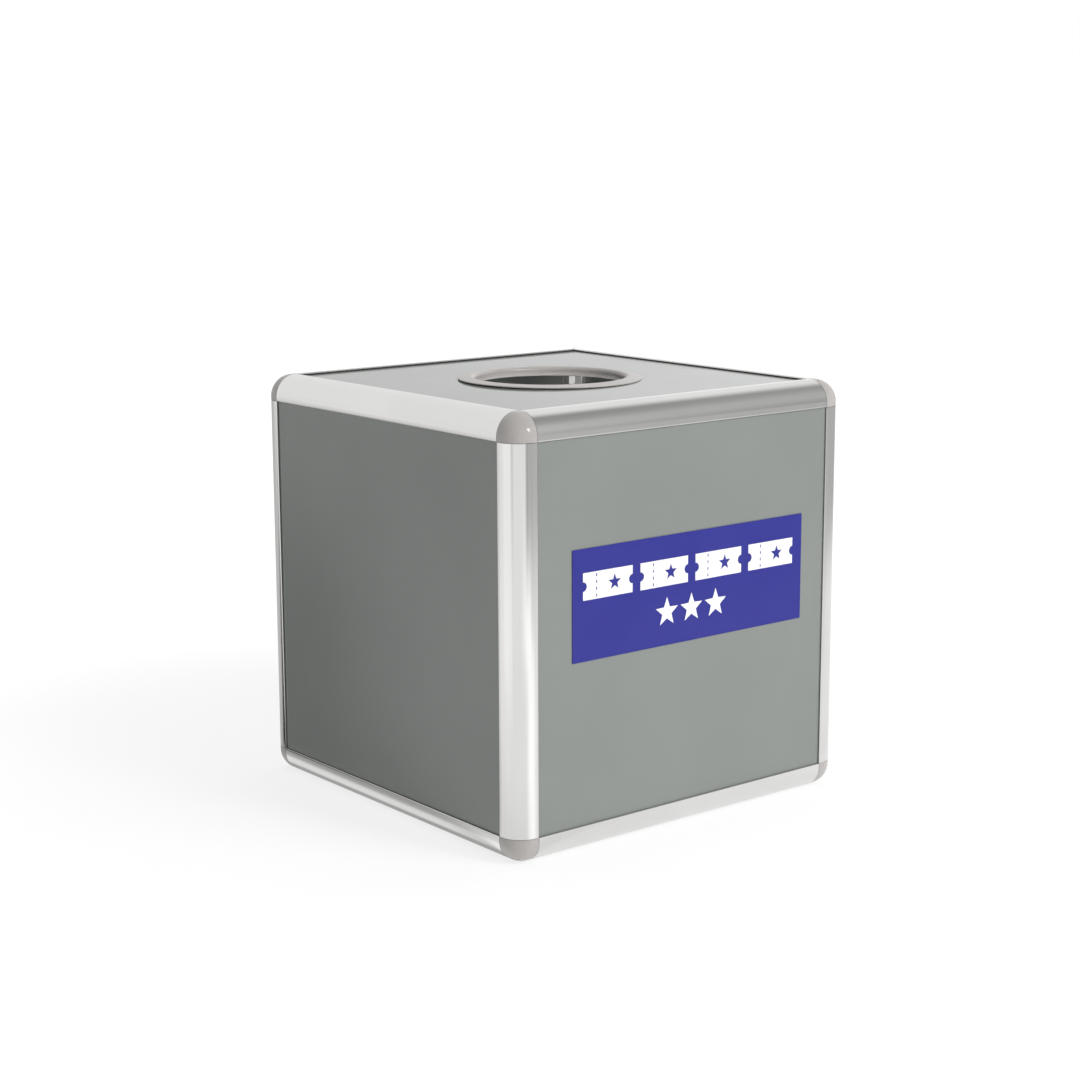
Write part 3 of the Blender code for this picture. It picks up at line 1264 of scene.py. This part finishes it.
@dataclass
class Surroundings:
    """The white that the camera sees, and the bright and dim sides that the box mirrors.

    A pair says where a smooth change starts and ends: a direction in degrees from +X
    towards +Y, or for the pairs named rise and fall how steeply a direction points up.
    """

    sky: float = 0.25
    bright: float = 0.85
    bright_low: Limits = (8, 24)
    bright_high: Limits = (-8, 32)
    high_rise: Limits = (0.24, 0.46)
    glare: float = 1.06
    glare_start: Limits = (8, 24)
    glare_fall: Limits = (0.15, 0.27)
    haze: float = 0.80
    haze_start: Limits = (42, 58)
    haze_end: Limits = (64, 84)
    front_end: Limits = (-100, -92)
    dim_low: float = 0.37
    dim_middle: float = 0.465
    dim_rise: Limits = (0.04, 0.34)
    dim_high: float = 0.31
    dim_fall: Limits = (0.48, 0.80)
    dim_side: float = 0.10
    side_start: Limits = (-96, -80)
    side_end: Limits = (-54, -43)

    def level(self, tree: NodeTree, turn: object, back: object, dim: object,
              bright: object) -> Socket:
        """Return how bright the far surroundings are in reflections.

        Args:
            tree: the tree to add nodes to.
            turn: the direction's angle from +X towards +Y.
            back: how far the bright side behind the box has begun.
            dim: how bright the dim side is.
            bright: how bright the bright side is.

        Returns:
            The level.
        """
        side = tree.math("MAXIMUM", tree.swing(turn, self.front_end, 1.0, 0.0), back)
        lifted = tree.plus(dim, tree.sector(turn, (self.side_start, self.dim_side),
                                            (self.side_end, -self.dim_side)))
        return tree.between(side, lifted, bright)

    def build(self) -> None:
        """Add the surroundings as the scene's world."""
        world = bpy.data.worlds.new("studio")
        world.use_nodes = True
        bpy.context.scene.world = world
        world.node_tree.nodes.clear()
        tree = NodeTree(world.node_tree)
        x, y, rise = tree.split(tree.add("TexCoord").outputs["Generated"])
        turn = tree.math("ARCTAN2", y, x)
        dim = tree.plus(tree.ramp(rise, *self.dim_rise, self.dim_low, self.dim_middle),
                        tree.ramp(rise, *self.dim_fall, 0.0, self.dim_high - self.dim_middle))
        glare = tree.times(tree.ramp(rise, *self.glare_fall, 1.0, 0.0), tree.sector(
            turn, (self.glare_start, self.glare - self.bright),
            (self.haze_start, self.haze - self.glare), (self.haze_end, self.bright - self.haze)))
        back = tree.between(tree.ramp(rise, *self.high_rise), tree.swing(turn, self.bright_low),
                            tree.swing(turn, self.bright_high))
        level = self.level(tree, turn, back, dim, tree.plus(self.bright, glare))
        camera, mirror = tree.rays()
        strength = tree.between(camera, tree.between(mirror, self.sky, level), 1.0)
        glow = tree.add("Background", {"Color": (1, 1, 1, 1), "Strength": strength})
        tree.add("OutputWorld", {0: glow.outputs[0]})


@dataclass
class Floor:
    """The pale floor, which keeps the box's soft shadow.

    The camera sees one level of it, soft light gets another, and mirrors a third, which
    changes round the box. A pair says where a smooth change starts and ends: a direction
    in degrees from +X towards +Y, seen from near the front left post, or for the pairs
    named span how far it is from the middle of the box. What the left side mirrors is
    given by where it shows on the left panel: along it, or how high.
    """

    surroundings: Surroundings
    camera: PhotoCamera
    half: float = 12.0
    parts: int = 8
    share: float = 0.26
    glow: float = 0.76
    glow_span: Limits = (0.25, 1.10)
    bounce: float = 0.76
    bounce_glow: float = 0.56
    left_bounce: float = 0.68
    bounce_x: Limits = (-0.25, CAD_LOW[0])
    bounce_y: Limits = (-0.50, -0.10)
    light: float = 1.05
    lit: float = 0.40
    lit_span: Limits = (0.22, 0.48)
    post_place: float = 0.14
    near_left: float = 0.86
    near_front: float = 1.20
    near_right: float = 0.82
    front_start: Limits = (-124, -98)
    front_end: Limits = (-82, -66)
    front_delay: float = math.radians(20)
    delay_span: Limits = (0.62, 0.80)
    right_lift: float = 0.07
    right_start: Limits = (-34, -22)
    foot: float = 0.92
    foot_span: Limits = (0.22, 0.40)
    dim_start: Limits = (-56, -46)
    far_span: Limits = (0.80, 1.42)
    streak: float = 0.32
    streak_start: Limits = (-168, -164)
    streak_end: Limits = (-158, -154)
    streak_span: Limits = (1.10, 1.60)
    swell: float = 0.12
    swell_end: Limits = (-168, -160)
    swell_start: Limits = (144, 160)
    swell_span: Limits = (0.45, 0.65)
    hollow: float = 0.62
    hollow_start: Limits = (36, 60)
    hollow_end: Limits = (106, 122)
    front_foot: float = 1.10
    front_foot_start: Limits = (-82, -66)
    front_foot_end: Limits = (0, 20)
    left_foot: float = 1.02
    left_foot_start: Limits = (70, 90)
    left_foot_end: Limits = (134, 150)
    close_span: Limits = (0.24, 0.32)
    left_panel: float = 0.70
    panel_front: Limits = (-0.140, -0.125)
    panel_back: Limits = (0.142, 0.152)
    panel_foot: Limits = (0.014, 0.026)
    panel_top: Limits = (0.276, 0.286)
    left_near: float = 0.06
    deep_along: Limits = (-0.06, 0.12)
    deep_height: Limits = (0.12, 0.26)
    contact: float = 1.00
    contact_start: Limits = (-0.002, 0.0)
    contact_end: Limits = (0.004, 0.012)
    contact_front: Limits = (-0.19, -0.04)
    contact_back: Limits = (0.14, 0.17)

    def near_level(self, tree: NodeTree, turn: object, span: object) -> Socket:
        """Return how bright the floor near the box is in reflections.

        Args:
            tree: the tree to add nodes to.
            turn: the direction's angle.
            span: the distance from the middle of the box.

        Returns:
            The level.
        """
        later = tree.minus(turn, tree.ramp(span, *self.delay_span, self.front_delay, 0.0))
        front = tree.sector(later, (self.front_start, self.near_front - self.near_left),
                            (self.front_end, self.near_right - self.near_front))
        right = tree.sector(turn, (self.right_start, self.right_lift))
        return tree.times(tree.plus(self.near_left, tree.plus(front, right)),
                          tree.ramp(span, *self.foot_span, self.foot, 1.0))

    def far_level(self, tree: NodeTree, turn: object) -> Socket:
        """Return how bright the floor far from the box is in reflections.

        Args:
            tree: the tree to add nodes to.
            turn: the direction's angle.

        Returns:
            The level.
        """
        around = self.surroundings
        dim = tree.plus(around.dim_low, tree.sector(turn, (self.dim_start, around.dim_side)))
        back = tree.swing(turn, around.bright_low)
        return around.level(tree, turn, back, dim, around.bright)

    def unevenness(self, tree: NodeTree, turn: object, span: object) -> Socket:
        """Return a factor for the floor's swell, streak and hollow in reflections.

        Args:
            tree: the tree to add nodes to.
            turn: the direction's angle.
            span: the distance from the middle of the box.

        Returns:
            The factor.
        """
        streak = tree.times(tree.ramp(span, *self.streak_span), tree.sector(
            turn, (self.streak_start, -self.streak), (self.streak_end, self.streak)))
        swell = tree.times(tree.ramp(span, *self.swell_span), tree.plus(self.swell, tree.sector(
            turn, (self.swell_end, -self.swell), (self.swell_start, self.swell))))
        hollow = tree.sector(turn, (self.hollow_start, self.hollow - 1.0),
                             (self.hollow_end, 1.0 - self.hollow))
        return tree.plus(tree.plus(1.0, hollow), tree.plus(swell, streak))

    def close_floor(self, tree: NodeTree, turn: object, span: object) -> Socket:
        """Return a factor for the floor right beside the box's left and front in reflections.

        Args:
            tree: the tree to add nodes to.
            turn: the direction's angle.
            span: the distance from the middle of the box.

        Returns:
            The factor.
        """
        added = tree.sector(turn, (self.front_foot_start, self.front_foot - 1.0),
                            (self.front_foot_end, 1.0 - self.front_foot),
                            (self.left_foot_start, self.left_foot - 1.0),
                            (self.left_foot_end, 1.0 - self.left_foot))
        return tree.plus(1.0, tree.times(added, tree.ramp(span, *self.close_span, 1.0, 0.0)))

    def left_shade(self, tree: NodeTree, x: object, y: object) -> Socket:
        """Return a factor for the floor that the left side mirrors.

        The left side's mirror image of the camera looks at the floor through the left panel.
        So each floor point is seen at one place on the panel: how far along and how high.

        Args:
            tree: the tree to add nodes to.
            x: the floor point's first coordinate.
            y: its second coordinate.

        Returns:
            The factor.
        """
        _, camera_y, camera_z = self.camera.place
        image_x = 2 * CAD_LOW[0] - self.camera.place[0]
        share = tree.math("DIVIDE", image_x - CAD_LOW[0], tree.minus(image_x, x))
        along = tree.plus(camera_y, tree.times(share, tree.minus(y, camera_y)))
        height = tree.times(tree.minus(1.0, share), camera_z)
        panel = tree.times(tree.window(along, self.panel_front, self.panel_back),
                           tree.window(height, self.panel_foot, self.panel_top))
        deep = tree.times(tree.ramp(along, *self.deep_along), tree.ramp(
            height, *self.deep_height, self.left_panel - self.left_near, 0.0))
        shade = tree.times(panel, tree.plus(deep, 1.0 - self.left_panel))
        contact = tree.times(
            tree.window(height, self.contact_start, self.contact_end, self.contact),
            tree.window(along, self.contact_front, self.contact_back))
        return tree.plus(tree.minus(1.0, shade), contact)

    def mirrored(self, tree: NodeTree, x: object, y: object, span: object) -> Socket:
        """Return the shader that mirrors see.

        Args:
            tree: the tree to add nodes to.
            x: the floor point's first coordinate.
            y: its second coordinate.
            span: its distance from the middle of the box.

        Returns:
            The shader.
        """
        turn = tree.math("ARCTAN2", tree.plus(y, self.post_place), tree.plus(x, self.post_place))
        mixed = tree.between(tree.ramp(span, *self.far_span), self.near_level(tree, turn, span),
                             self.far_level(tree, turn))
        level = tree.times(self.unevenness(tree, turn, span), mixed,
                           self.close_floor(tree, turn, span), self.left_shade(tree, x, y))
        lit = tree.ramp(span, *self.lit_span, self.lit, 0.0)
        return tree.lit_and_glowing(tree.math("DIVIDE", tree.times(level, lit), self.light),
                                    tree.times(level, tree.minus(1.0, lit)))

    def build(self) -> None:
        """Add the floor with its finish."""
        work = bmesh.new()
        bmesh.ops.create_grid(work, x_segments=self.parts, y_segments=self.parts, size=self.half)
        mesh = settled(work, "floor")
        floor = linked("floor", mesh)
        finish = bpy.data.materials.new("pale_floor")
        finish.use_nodes = True
        finish.node_tree.nodes.clear()
        mesh.materials.append(finish)
        tree = NodeTree(finish.node_tree)
        x, y, _ = tree.split(tree.add("NewGeometry").outputs["Position"])
        span = tree.math("SQRT", tree.plus(tree.times(x, x), tree.times(y, y)))
        beside = tree.times(tree.ramp(x, *self.bounce_x, 1.0 - self.left_bounce, 0.0),
                            tree.ramp(y, *self.bounce_y))
        bounce = tree.lit_and_glowing(
            self.bounce, tree.times(self.bounce_glow, tree.minus(1.0, beside)))
        seen = tree.lit_and_glowing(self.share, tree.ramp(span, *self.glow_span, self.glow, 1.0))
        camera, mirror = tree.rays()
        other = tree.add("MixShader", {
            0: mirror, 1: bounce, 2: self.mirrored(tree, x, y, span)}).outputs[0]
        final = tree.add("MixShader", {0: camera, 1: other, 2: seen}).outputs[0]
        tree.add("OutputMaterial", {0: final})


def hang_lamp(data: bpy.types.Light, place: Vector, away: Vector, mirrored: bool) -> None:
    """Add a lamp that the camera doesn't see.

    Args:
        data: its light, whose name it takes.
        place: where it is.
        away: the direction opposite to the one that it faces.
        mirrored: whether glossy surfaces show it.
    """
    lamp = linked(data.name, data)
    lamp.location = place
    lamp.rotation_mode = "QUATERNION"
    lamp.rotation_quaternion = away.to_track_quat("Z", "Y")
    lamp.visible_camera = False
    lamp.visible_glossy = mirrored


@dataclass(frozen=True)
class SoftLamp:
    """A round soft lamp that faces the middle of the box, with its power in watts.

    Its azimuth is its direction from +X towards +Y and its elevation its height above
    the horizon, both in degrees.
    """

    name: str
    azimuth: float
    elevation: float
    distance: float
    size: float
    power: float
    mirrored: bool = False

    def build(self) -> None:
        """Add the lamp."""
        data = bpy.data.lights.new(self.name, "AREA")
        data.shape, data.size, data.energy = "DISK", self.size, self.power
        turn, rise = math.radians(self.azimuth), math.radians(self.elevation)
        away = Vector((math.cos(turn) * math.cos(rise), math.sin(turn) * math.cos(rise),
                       math.sin(rise)))
        middle = Vector((0, 0, (CAD_LOW[2] + CAD_HIGH[2]) / 2))
        hang_lamp(data, middle + away * self.distance, away, self.mirrored)


@dataclass(frozen=True)
class InsideLight:
    """A weak light for what falls in through the hand hole, its cone in degrees."""

    name: str
    place: Place
    aim: Place
    cone: float
    power: float
    soft_edge: float = 0.9
    radius: float = 0.003

    def build(self) -> None:
        """Add the light."""
        data = bpy.data.lights.new(self.name, "SPOT")
        data.energy, data.spot_size = self.power, math.radians(self.cone)
        data.spot_blend, data.shadow_soft_size = self.soft_edge, self.radius
        hang_lamp(data, Vector(self.place), Vector(self.place) - Vector(self.aim), False)


LAMPS = (
    SoftLamp("key_lamp", -72, 34, 3.2, 2.0, 57),
    SoftLamp("fill_lamp", -170, 56, 3.0, 1.8, 4.5),
    SoftLamp("back_lamp", 116, 30, 3.0, 1.6, 4),
    SoftLamp("side_lamp", -6, 16, 3.0, 1.6, 17),
    SoftLamp("top_lamp", 60, 78, 2.6, 1.8, 20.5),
    SoftLamp("spark_lamp", -79.7, 31.7, 2.02, 0.31, 7.0, mirrored=True),
    InsideLight("inside_glow", (-0.105, -0.105, 0.291), (0.134, 0.134, 0.240), 95, 0.9),
    InsideLight("post_glow", (-0.100, 0.105, 0.262), (0.137, 0.141, 0.2745), 6.5, 1.6))


@dataclass
class Studio:
    """The surroundings, the floor, the lamps and the camera."""

    surroundings: Surroundings = field(default_factory=Surroundings)
    camera: PhotoCamera = field(default_factory=PhotoCamera)
    lamps: tuple[SoftLamp | InsideLight, ...] = LAMPS

    def build(self) -> None:
        """Add the whole studio."""
        self.surroundings.build()
        Floor(self.surroundings, self.camera).build()
        for lamp in self.lamps:
            lamp.build()
        self.camera.build()
        bpy.context.scene.view_settings.view_transform = "Standard"


def main() -> None:
    """Build every piece of the raffle box and the studio round it."""
    logging.basicConfig(level=logging.INFO, format="%(name)s: %(message)s")
    effects = Effects()
    satin, recess_shade, inner, corner, ring, sheet, film, ink = (
        finish.material(effects) for finish in (
            SATIN_ALUMINIUM, PAINTED_SLOT_SHADE, INNER_ALUMINIUM, CORNER_PLASTIC, RING_PLASTIC,
            PANEL_SHEET, LABEL_FILM, LABEL_PRINT))
    profiles = EdgeProfiles()
    profiles.build(satin, recess_shade, inner)
    MouldedCorners(profiles).build(corner)
    HandHoleRings().build(ring)
    LabelPrint().build(ink)
    PackedPieces().dress(sheet, film)
    Studio().build()


if __name__ == "__main__":
    main()
